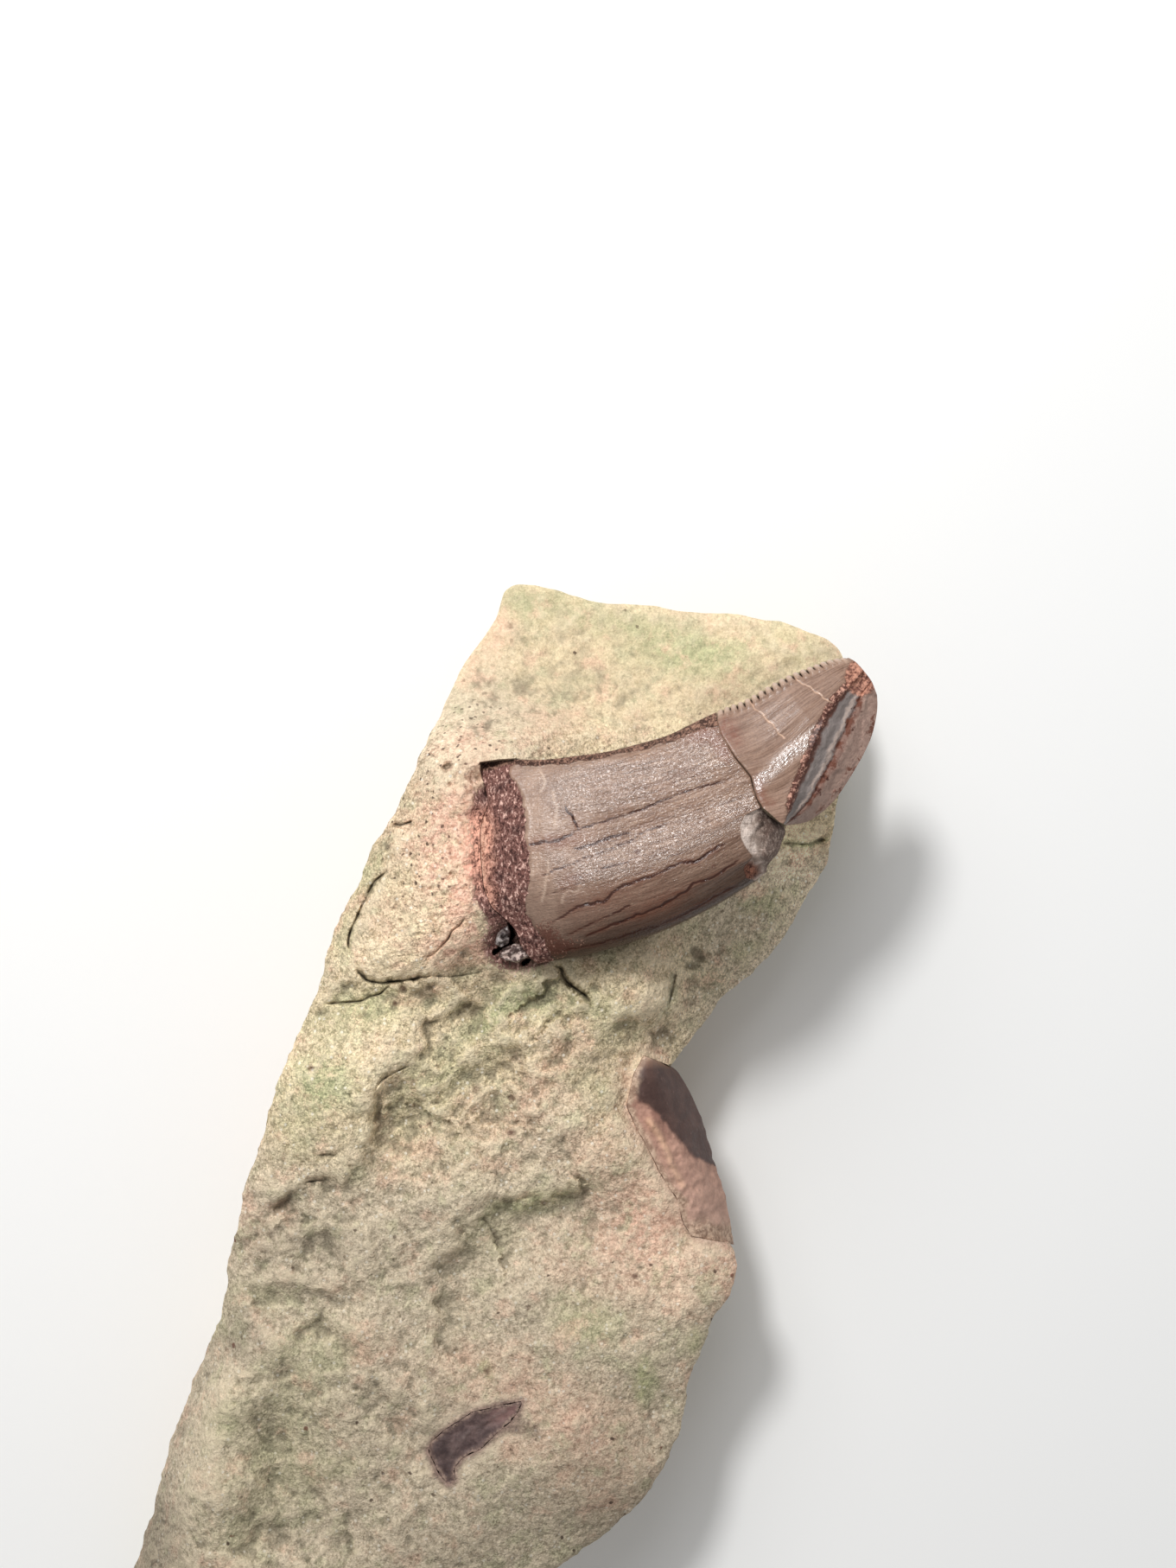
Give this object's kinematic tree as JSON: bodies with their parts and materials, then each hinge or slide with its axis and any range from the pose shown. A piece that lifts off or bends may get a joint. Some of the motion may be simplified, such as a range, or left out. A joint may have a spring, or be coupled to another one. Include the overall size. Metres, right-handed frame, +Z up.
{
  "type": "fossil theropod tooth in matrix",
  "caption": "Small serrated dinosaur tooth lying in relief on a broken block of pale mudstone, with bone fragments in the stone; rests on a flat underside.",
  "frame": {"origin": "middle of the bounding box, on the flat underside that the block rests on", "axes": "+Z up, out of the face with the tooth; +Y along the block towards the end with the tooth; +X to the right, the way the tooth's tip points"},
  "size_m": [0.045, 0.0666, 0.018],
  "materials": {
    "mudstone": "rough matt mudstone, pale tan with green and pink patches",
    "enamel": "fossil enamel, grey-brown, silky, cracked along its length",
    "enamel_tip": "fossil enamel of the refitted tip, grey-brown with a spalled face",
    "bone": "fossil bone, dark brown and smooth, pink-brown where rough",
    "bone_dark": "fossil bone sliver, purplish brown, matt",
    "splinter": "splinters of root, grey to off-white, glassy breaks"
  },
  "bodies": {
    "root": {"matrix": "mudstone", "crown": "enamel", "crown_tip": "enamel_tip", "bone_fragment": "bone", "dark_fragment": "bone_dark", "root_splinter_1": "splinter", "root_splinter_2": "splinter"}
  },
  "joints": []
}
